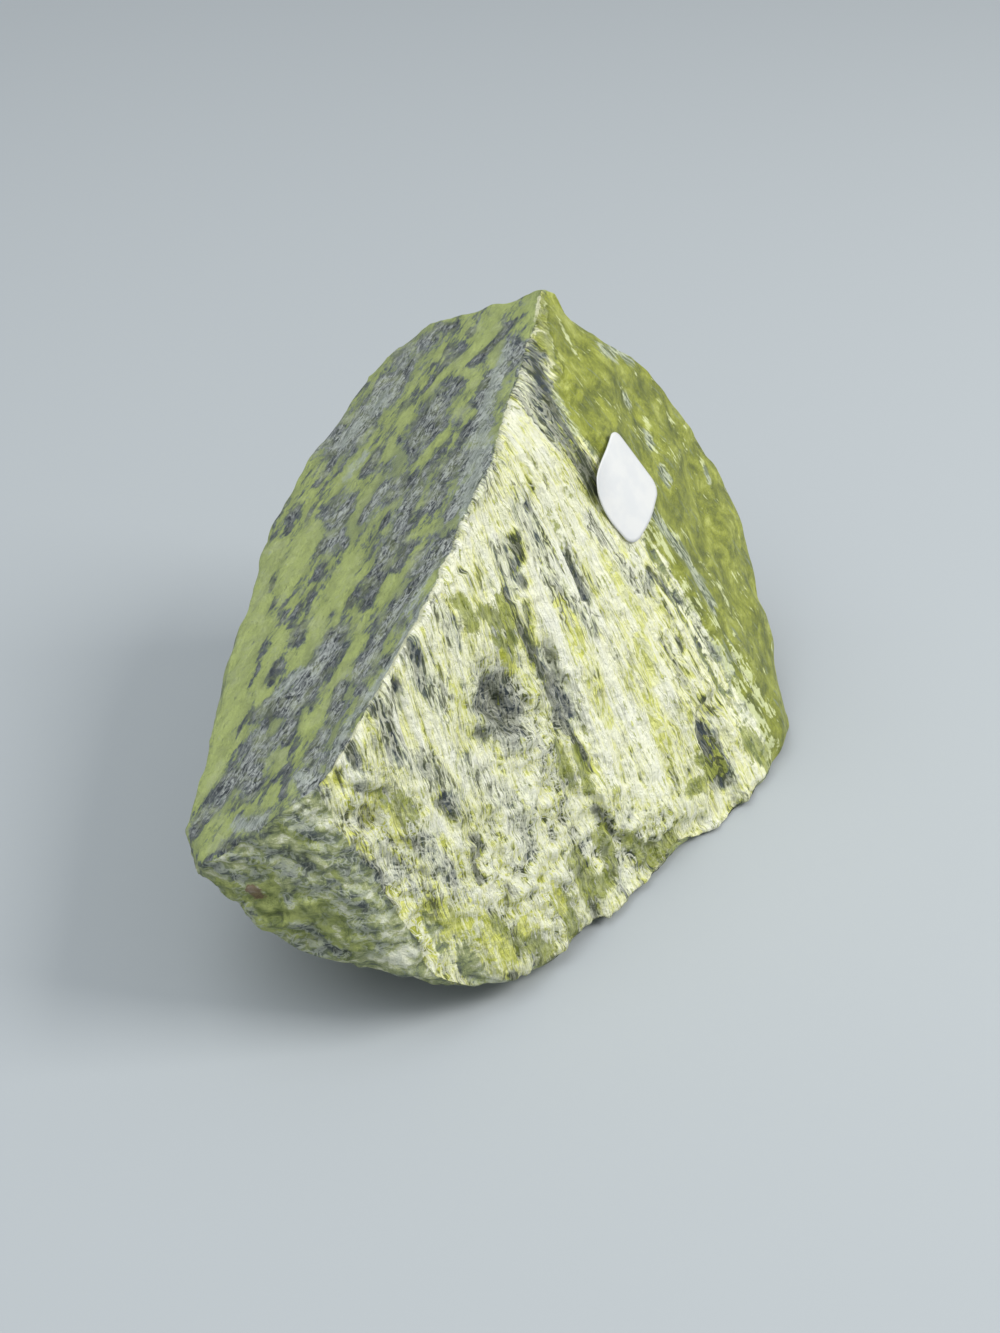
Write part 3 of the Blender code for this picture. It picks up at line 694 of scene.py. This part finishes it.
# Where the fibres are glassy. Here and below, a mix names the weights of marks, patterns and lines,
# and the limits are the two values that it fades in between.
GLASS = ({"green": 1.3, "strand": 2.2, "thread": 1.8, "crumb": 2.2}, (0.32, 0.58))


def put(tree, kind, inputs=(), **settings):
    """Add a node, set its settings, and set or link its inputs by name or number."""
    node = tree.nodes.new(kind)
    for name, value in settings.items():
        setattr(node, name, value)
    for key, value in dict(inputs).items():
        if isinstance(value, bpy.types.NodeSocket):
            tree.links.new(value, node.inputs[key])
        else:
            node.inputs[key].default_value = value
    return node


def times(tree, first, second):
    return put(tree, "ShaderNodeMath", {0: first, 1: second}, operation="MULTIPLY").outputs[0]


def weighed(tree, look, weights, base=0.0):
    """The base and the named values of the look, each times its weight."""
    total = base
    for name, weight in weights.items():
        inputs = {0: look[name], 1: weight, 2: total}
        total = put(tree, "ShaderNodeMath", inputs, operation="MULTIPLY_ADD").outputs[0]
    return total


def band(tree, value, limits, kind="SMOOTHSTEP"):
    """0 at the first limit and 1 at the second."""
    inputs = {"Value": value, "From Min": limits[0], "From Max": limits[1]}
    return put(tree, "ShaderNodeMapRange", inputs, interpolation_type=kind).outputs[0]


def ragged(tree, look, weights, limits):
    """A mask: marks count as they are, and patterns, which tear its edge, from their middle of a half."""
    middle = 0.5 * sum(weight for name, weight in weights.items() if name in PATTERNS)
    return band(tree, weighed(tree, look, weights), (limits[0] + middle, limits[1] + middle))


def paint(red, green, blue):
    """A display colour, 0 to 255, as the shader's linear one."""
    shares = [channel / 255 for channel in (red, green, blue)]
    linear = [s / 12.92 if s <= 0.04045 else ((s + 0.055) / 1.055) ** 2.4 for s in shares]
    return (*linear, 1.0)


def blend(tree, share, first, second):
    """Two colours mixed. Each is a socket or a display colour."""
    inputs = {0: share}
    for number, colour in ((6, first), (7, second)):
        inputs[number] = colour if isinstance(colour, bpy.types.NodeSocket) else paint(*colour)
    return put(tree, "ShaderNodeMix", inputs, data_type="RGBA").outputs[2]


def two_tones(tree, look, weights, limits, tones):
    """Two display colours that patterns mix."""
    return blend(tree, band(tree, weighed(tree, look, weights), limits), *tones)


def ramp(tree, value, stops):
    """A row of display colours, each at its own value."""
    node = put(tree, "ShaderNodeValToRGB", {"Fac": value})
    points = node.color_ramp.elements
    for _ in stops[2:]:
        points.new(1.0)
    for point, (place, tint) in zip(points, stops):
        point.position = place
        point.color = paint(*tint)
    return node.outputs[0]


def attribute(tree, name, output="Fac"):
    return put(tree, "ShaderNodeAttribute", attribute_name=name).outputs[output]


def mottle(tree, field, sizes, detail, roughness, bend=0.0, shift=UNMOVED):
    """Cloudy noise from 0 to 1, with blotches of the given sizes along the axes of its field."""
    place, turn, millimetre = field
    scale = [size * millimetre for size in sizes]
    inputs = {"Vector": place, "Location": shift, "Rotation": turn, "Scale": scale}
    spread = put(tree, "ShaderNodeMapping", inputs, vector_type="TEXTURE").outputs[0]
    inputs = {"Vector": spread, "Scale": 1.0, "Detail": detail, "Roughness": roughness, "Distortion": bend}
    return put(tree, "ShaderNodeTexNoise", inputs).outputs[0]


def hairs(tree, field, sizes, width, shift=UNMOVED):
    """Thin wandering lines, 1 on a line and 0 between them, where noise is at its middle."""
    wander = mottle(tree, field, sizes, *HAIR_NOISE, shift)
    off = put(tree, "ShaderNodeMath", {0: wander, 1: 0.5}, operation="SUBTRACT").outputs[0]
    off = put(tree, "ShaderNodeMath", {0: off}, operation="ABSOLUTE").outputs[0]
    return band(tree, off, (width, width * HAIR_CORE))


def new_finish(name):
    finish = bpy.data.materials.new(name)
    finish.use_nodes = True
    tree = finish.node_tree
    return finish, tree, tree.nodes["Principled BSDF"]


def bump_up(tree, shader, height, strength, depth):
    """Fine bumps, with their depth in millimetres."""
    inputs = {"Height": height, "Strength": strength, "Distance": depth * MM}
    bump = put(tree, "ShaderNodeBump", inputs)
    tree.links.new(bump.outputs[0], shader.inputs["Normal"])


def rock_look(tree):
    """All that the coats of the rock mix: its faces and marks, its patterns, its lines and its glass."""
    place = put(tree, "ShaderNodeTexCoord").outputs["Object"]
    turn = Vector((1.0, 0.0, 0.0)).rotation_difference(Vector(STREAK)).to_euler()
    fields = {
        "place": (place, UNMOVED, MM),
        "streaks": (place, turn, MM),
        "grain": (attribute(tree, "grain", "Vector"), UNMOVED, 1.0),
    }
    look = {name: attribute(tree, name) for name in (*STROKES, *COATED, "raised", "crumbled")}
    for name, (field, *pattern) in PATTERNS.items():
        look[name] = mottle(tree, fields[field], *pattern)
    for name, (field, *line) in HAIRS.items():
        look[name] = hairs(tree, fields[field], *line)
    look["glass"] = ragged(tree, look, *GLASS)
    return look


# The slab: how dark it is, and its colours from light to dark. Light grey patches turn greyer;
# those on its upper left are a painted sheen.
SLAB_SHADE = {
    "dark": 0.80, "grey": 0.36, "frost_and_sheen": 0.16, "green": -0.6, "blot": 2.8, "grit": 1.2, "crumb": 0.5,
}
SLAB_SHADE_LIMITS = (1.99, 2.93)
SLAB_TINTS = [
    (0.0, (164, 176, 104)), (0.28, (146, 158, 92)), (0.38, (122, 134, 92)),
    (0.47, (90, 100, 94)), (0.60, (56, 64, 70)), (1.0, (34, 41, 48)),
]
GREYED_LIMITS = (0.50, 0.25)
GREYED_STRENGTH = 0.75
GREYED = (112, 122, 98)

# Pale clouds, dull crumbs and dark pits on the slab, each with its pattern, limits, strength and colour.
SLAB_FLECKS = [
    ("body", (0.48, 0.68), 0.55, (172, 180, 134)),
    ("crumb", (0.52, 0.40), 0.35, (124, 134, 84)),
    ("grit", (0.40, 0.32), 0.55, (80, 90, 70)),
]

# Frost on the slab, white hairs that are partly a painted sheen: where it lies, the scratches and curls
# that show it, and a haze around it, also partly a painted sheen.
FROST_AND_SHEEN_PLACES = {"shade": 0.50, "frost_and_sheen": 0.60, "grey": 0.25, "fibre": 1.4, "green": -0.5, "crumb": 0.8}
FROST_AND_SHEEN_LIMITS = (0.55, 1.25)
FROST_AND_SHEEN_LINES = {"scratch": 0.45, "curl": 0.22}
FROST_AND_SHEEN = (206, 211, 204)
HAZE_AND_SHEEN_MIX = ({"frost_and_sheen": 0.9, "grey": 0.08, "grit": 2.0, "crumb": 2.4}, (0.3, 0.9))
HAZE_AND_SHEEN_STRENGTH = 0.6
HAZE_AND_SHEEN = (160, 168, 156)


def slab_coat(tree, look):
    """Green stone under dark patches, with dull flecks, and grey haze and frost scratches partly a painted
    sheen.
    """
    shade = band(tree, weighed(tree, look, SLAB_SHADE), SLAB_SHADE_LIMITS, "LINEAR")
    look = {**look, "shade": shade}
    tint = ramp(tree, shade, SLAB_TINTS)
    greyed = times(tree, look["grey"], band(tree, shade, GREYED_LIMITS))
    tint = blend(tree, times(tree, greyed, GREYED_STRENGTH), tint, GREYED)
    for pattern, limits, strength, colour in SLAB_FLECKS:
        tint = blend(tree, times(tree, band(tree, look[pattern], limits), strength), tint, colour)
    frost_and_sheen_share = band(tree, weighed(tree, look, FROST_AND_SHEEN_PLACES), FROST_AND_SHEEN_LIMITS)
    tint = blend(tree, times(tree, frost_and_sheen_share, weighed(tree, look, FROST_AND_SHEEN_LINES)), tint, FROST_AND_SHEEN)
    haze_and_sheen = ragged(tree, look, *HAZE_AND_SHEEN_MIX)
    return blend(tree, times(tree, haze_and_sheen, HAZE_AND_SHEEN_STRENGTH), tint, HAZE_AND_SHEEN)


# The front: its fibres where they are straight and where they are crumbled loose, how light it is,
# and its colours from between the fibres to their tops, where it is warm and where it is cool. Its
# lightness holds painted shade: it is darker in hollows, the crevice and the pocket, and lighter on raised
# tops. The dark between the fibres is partly the stone's green and partly painted shade.
STRAIGHT = {"strand": 2.5, "thread": 1.7, "crumb": 1.3}
LOOSE = {"crumb": 3.9, "thread": 1.4}
FRONT_LEVEL = {
    "fibres": 1.0, "pale": 0.5, "dark": -0.98, "raised": 0.5, "grey": -0.26, "green": -0.25,
    "yellow": 0.1, "drift": 1.4, "crumbled": -0.26,
}
FRONT_LEVEL_LIMITS = (2.66, 3.88)
WARM_TINTS = [
    (0.0, (58, 66, 42)), (0.20, (104, 112, 48)), (0.34, (172, 177, 86)),
    (0.48, (221, 223, 128)), (0.64, (241, 241, 174)), (0.88, (250, 250, 218)),
]
COOL_TINTS = [
    (0.0, (58, 68, 74)), (0.22, (104, 114, 106)), (0.40, (176, 181, 150)),
    (0.56, (222, 225, 180)), (0.85, (249, 249, 230)),
]
COOLNESS = {"tone": 1.0, "grey": 0.30, "dark": -0.03, "yellow": -0.2}
COOLNESS_LIMITS = (0.51, 0.64)

# Two-toned greens of the glassy fibres, and bright yellows.
GLASSY_GREEN = ({"strand": 0.5, "crumb": 0.5}, (0.40, 0.58), ((100, 112, 30), (164, 172, 72)))
GLASS_STRENGTH = 0.9
BRIGHT = ({"yellow": 1.15, "crumbled": 0.06, "crumb": 1.4, "strand": 2.0}, (0.26, 0.62))
BRIGHT_YELLOW = ({"crumb": 1.0}, (0.40, 0.58), ((176, 182, 48), (234, 236, 118)))
BRIGHT_STRENGTH = 0.78

# Dark seams between fibres, and pale fuzz and fluff, which glassy and dark places are smooth of.
SEAMED = {"drift": -1.4, "grey": 0.8, "dark": 0.6, "pale": -0.2, "crumb": 1.2}
SEAMED_LIMITS = (-0.30, 0.35)
SEAM_STRENGTH = 0.85
SEAM_GREEN = (70, 77, 48)
SMOOTH = {"glass": 0.75, "dark": 0.8}
SMOOTH_LIMITS = (1.0, 0.0)
FUZZ_STRENGTH = 0.5
FUZZ = (250, 250, 226)
FLUFF_STRENGTH = 0.8
FLUFF = (246, 247, 226)


def front_coat(tree, look):
    """Pale fibres over grey and dark, with glassy greens, bright yellows, seams, fuzz and fluff."""
    inputs = {0: look["crumbled"], 2: weighed(tree, look, STRAIGHT), 3: weighed(tree, look, LOOSE)}
    look = {**look, "fibres": put(tree, "ShaderNodeMix", inputs).outputs[0]}
    level = band(tree, weighed(tree, look, FRONT_LEVEL), FRONT_LEVEL_LIMITS, "LINEAR")
    cool = band(tree, weighed(tree, look, COOLNESS), COOLNESS_LIMITS)
    tint = blend(tree, cool, ramp(tree, level, WARM_TINTS), ramp(tree, level, COOL_TINTS))
    green = two_tones(tree, look, *GLASSY_GREEN)
    tint = blend(tree, times(tree, look["glass"], GLASS_STRENGTH), tint, green)
    bright = ragged(tree, look, *BRIGHT)
    tint = blend(tree, times(tree, bright, BRIGHT_STRENGTH), tint, two_tones(tree, look, *BRIGHT_YELLOW))
    seam = times(tree, look["seam"], band(tree, weighed(tree, look, SEAMED), SEAMED_LIMITS))
    tint = blend(tree, times(tree, seam, SEAM_STRENGTH), tint, SEAM_GREEN)
    clear = band(tree, weighed(tree, look, SMOOTH), SMOOTH_LIMITS, "LINEAR")
    fuzz = times(tree, look["fuzz"], clear)
    tint = blend(tree, times(tree, fuzz, FUZZ_STRENGTH), tint, FUZZ)
    fluff = times(tree, times(tree, look["curl"], clear), look["crumbled"])
    return blend(tree, times(tree, fluff, FLUFF_STRENGTH), tint, FLUFF)


# The olive face: its waxy colours, its dark fibrous strips, pale slivers, fuzz on the strips and gold.
OLIVE_TINTS = [
    (0.34, (76, 86, 22)), (0.44, (110, 118, 30)), (0.55, (144, 151, 48)), (0.68, (184, 190, 98)),
]
STRIPS = ({"dark": 1.1, "strand": 3.0, "thread": 2.0}, (0.36, 0.60))
STRIP_GREEN = ({"thread": 1.0}, (0.4, 0.6), ((66, 78, 60), (128, 138, 104)))
SLIVERS = (
    {"pale": 0.46, "dark": 0.14, "fibre": 0.5, "sliver": 1.8, "crumb": 1.2, "drift": 1.5},
    (0.34, 0.48),
)
SLIVER_STRENGTH = 0.8
SLIVER = (222, 228, 172)
STRIP_FUZZ_LIMITS = (0.1, 0.5)
STRIP_FUZZ_STRENGTH = 0.6
STRIP_FUZZ = (214, 220, 190)
GOLDEN = ({"yellow": 0.9, "crumb": 2.4}, (0.4, 0.8))
GOLD_STRENGTH = 0.4
GOLD = (182, 188, 66)


def olive_coat(tree, look):
    """Waxy olive with dark fibrous strips, pale slivers and a little yellow."""
    tint = ramp(tree, look["wax"], OLIVE_TINTS)
    tint = blend(tree, ragged(tree, look, *STRIPS), tint, two_tones(tree, look, *STRIP_GREEN))
    tint = blend(tree, times(tree, ragged(tree, look, *SLIVERS), SLIVER_STRENGTH), tint, SLIVER)
    fuzz = times(tree, look["fuzz"], band(tree, look["dark"], STRIP_FUZZ_LIMITS))
    tint = blend(tree, times(tree, fuzz, STRIP_FUZZ_STRENGTH), tint, STRIP_FUZZ)
    gold = ragged(tree, look, *GOLDEN)
    return blend(tree, times(tree, gold, GOLD_STRENGTH), tint, GOLD)


# The end and the broken rest: how light they are, their colours from dark to light, moss green,
# pale veins, dark pores and one spot of rust.
BROKEN_LEVEL = {
    "layers": 2.6, "broad": 1.6, "dark": -0.62, "pale": 0.5, "green": 0.1, "crumb": 3.0, "end": 0.24,
}
BROKEN_LEVEL_LIMITS = (2.60, 4.3)
BROKEN_TINTS = [
    (0.0, (42, 49, 51)), (0.22, (76, 85, 84)), (0.42, (108, 117, 94)),
    (0.56, (132, 142, 94)), (0.76, (168, 174, 124)), (1.0, (224, 225, 200)),
]
MOSSY = ({"green": 1.4, "dark": -0.8, "broad": 2.2, "layers": -1.6, "crumb": 1.6}, (0.36, 0.56))
MOSS = ({"crumb": 1.0}, (0.40, 0.60), ((108, 120, 60), (164, 173, 98)))
VEINED = {"body": 1.0, "dark": 0.4, "pale": 0.4}
VEINED_LIMITS = (0.48, 0.70)
VEIN_STRENGTH = 0.5
VEIN = (196, 201, 184)
PORE_LIMITS = (0.42, 0.34)
PORE_STRENGTH = 0.55
PORE = (58, 66, 50)
RUSTY = ({"rust": 1.2, "crumb": 2.0, "grit": 1.4}, (0.45, 0.75))
RUST_STRENGTH = 0.75
RUST = (104, 68, 56)


def broken_coat(tree, look):
    """The end and the rough rest: dark mottled layers with moss green, pale veins, pores and rust."""
    level = band(tree, weighed(tree, look, BROKEN_LEVEL), BROKEN_LEVEL_LIMITS, "LINEAR")
    tint = ramp(tree, level, BROKEN_TINTS)
    tint = blend(tree, ragged(tree, look, *MOSSY), tint, two_tones(tree, look, *MOSS))
    vein = times(tree, look["curl"], band(tree, weighed(tree, look, VEINED), VEINED_LIMITS))
    tint = blend(tree, times(tree, vein, VEIN_STRENGTH), tint, VEIN)
    pores = band(tree, look["crumb"], PORE_LIMITS)
    tint = blend(tree, times(tree, pores, PORE_STRENGTH), tint, PORE)
    rust = ragged(tree, look, *RUSTY)
    return blend(tree, times(tree, rust, RUST_STRENGTH), tint, RUST)


# The ragged edge between coats, the cream rim between the slab and the front, how dull the stone
# is, and its fine bumps: those of the front alone, those of all the rock, their strength and depth.
COAT_EDGE = {"strand": 1.2, "crumb": 0.9}
COAT_EDGE_LIMITS = (0.42, 0.58)
RIMMED = ({"rim": 1.6, "crumb": 0.35, "strand": 0.3}, (0.10, 0.24))
RIM_STRENGTH = 0.8
RIM = (246, 245, 204)
STONE_DULLNESS = 0.46
DULLNESS_CHANGES = {"olive": -0.14, "glass": -0.16, "crumb": 0.3, "slab": -0.02}
STONE_IOR = 1.54
FRONT_BUMPS = {"thread": 1.2, "strand": 0.9, "fuzz": 0.12, "seam": -0.14, "crumb": 0.9}
ROCK_BUMPS = {
    "front bumps": 1.0, "crumbled bumps": 1.0, "grit": 0.5, "scratch": 0.08, "layers": 0.9,
    "body": 0.4, "crumb": 0.7,
}
ROCK_BUMP = (1.0, 0.5)


def serpentine_finish():
    """Green serpentine: a mottled slab, a fibrous pale front, waxy olive and a dark, broken rest."""
    finish, tree, shader = new_finish("serpentine")
    look = rock_look(tree)
    tint = broken_coat(tree, look)
    for name, coat in (("olive", olive_coat), ("slab", slab_coat), ("fibre", front_coat)):
        share = ragged(tree, look, {name: 1.0, **COAT_EDGE}, COAT_EDGE_LIMITS)
        tint = blend(tree, share, tint, coat(tree, look))
    look["rim"] = times(tree, times(tree, look["slab"], look["fibre"]), look["pale"])
    tint = blend(tree, times(tree, ragged(tree, look, *RIMMED), RIM_STRENGTH), tint, RIM)
    tree.links.new(tint, shader.inputs["Base Color"])
    tree.links.new(weighed(tree, look, DULLNESS_CHANGES, STONE_DULLNESS), shader.inputs["Roughness"])
    shader.inputs["IOR"].default_value = STONE_IOR
    look["front bumps"] = times(tree, weighed(tree, look, FRONT_BUMPS), look["fibre"])
    look["crumbled bumps"] = times(tree, look["crumb"], look["crumbled"])
    bump_up(tree, shader, weighed(tree, look, ROCK_BUMPS), *ROCK_BUMP)
    return finish


# The label's paper: faint grey clouds and a fine tooth, the strength and depth of its bumps, and how
# dull it is.
PAPER_CLOUDS = ((4.167, 4.167, 4.167), 3.0, 0.5)
PAPER_CLOUD_LIMITS = (0.4, 0.65)
PAPER_TINTS = ((215, 215, 213), (209, 210, 210))
PAPER_TOOTH = ((0.385, 0.385, 0.385), 4.0, 0.6)
PAPER_BUMP = (0.25, 0.1)
PAPER_DULLNESS = 0.5


def paper_finish():
    """Smooth white label paper with a faint tooth."""
    finish, tree, shader = new_finish("label_paper")
    field = (put(tree, "ShaderNodeTexCoord").outputs["Object"], UNMOVED, MM)
    shade = band(tree, mottle(tree, field, *PAPER_CLOUDS), PAPER_CLOUD_LIMITS)
    tree.links.new(blend(tree, shade, *PAPER_TINTS), shader.inputs["Base Color"])
    shader.inputs["Roughness"].default_value = PAPER_DULLNESS
    bump_up(tree, shader, mottle(tree, field, *PAPER_TOOTH), *PAPER_BUMP)
    return finish


# The studio


def add_to_scene(name, data):
    thing = bpy.data.objects.new(name, data)
    bpy.context.scene.collection.objects.link(thing)
    return thing


def lit_panel(name, place, size, power, tint):
    """A soft square light that looks at the rock."""
    data = bpy.data.lights.new(name, "AREA")
    data.size = size
    data.energy = power
    data.color = tint
    lamp = add_to_scene(name, data)
    lamp.location = place
    lamp.rotation_euler = (LIT_POINT - lamp.location).to_track_quat("-Z", "Y").to_euler()


def lay_floor():
    """A plain pale floor."""
    sheet = bmesh.new()
    bmesh.ops.create_grid(sheet, x_segments=1, y_segments=1, size=FLOOR_REACH)
    mesh = bpy.data.meshes.new("studio_floor")
    sheet.to_mesh(mesh)
    sheet.free()
    floor = add_to_scene("studio_floor", mesh)
    finish, _, shader = new_finish("studio_floor")
    shader.inputs["Base Color"].default_value = paint(*FLOOR_GREY)
    shader.inputs["Roughness"].default_value = FLOOR_DULLNESS
    shader.inputs["Specular IOR Level"].default_value = 0.0
    mesh.materials.append(finish)


def light_studio():
    """A pale sky and soft lights from above, shown in plain display colours."""
    world = bpy.data.worlds.new("studio")
    world.use_nodes = True
    sky = world.node_tree.nodes["Background"]
    sky.inputs["Color"].default_value = SKY
    sky.inputs["Strength"].default_value = SKY_STRENGTH
    bpy.context.scene.world = world
    bpy.context.scene.view_settings.view_transform = "Standard"
    for name, light in LIGHTS.items():
        lit_panel(name, *light)


def set_camera():
    """The camera where it stood for the photo."""
    data = bpy.data.cameras.new("camera")
    data.sensor_width = SENSOR_WIDE
    data.lens = FOCAL_PIXELS / FRAME_HIGH * SENSOR_WIDE
    data.clip_start = NEAREST_SEEN
    camera = add_to_scene("camera", data)
    camera.location = CAMERA_PLACE * MM
    camera.rotation_euler = (CAMERA_TILT, 0.0, 0.0)
    bpy.context.scene.camera = camera


def show(name, mesh, finish, node):
    """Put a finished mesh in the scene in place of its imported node."""
    piece = add_to_scene(name, mesh)
    mesh.materials.append(finish)
    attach(piece, "root")
    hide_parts(node)


def main():
    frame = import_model()
    rock = fine_copy(frame["nodes"]["rock"])
    shape_rock(rock)
    label = make_label(rock)
    show("serpentine_rock", rock, serpentine_finish(), "rock")
    show("blank_label", label, paper_finish(), "paper_label")
    lay_floor()
    light_studio()
    set_camera()


main()
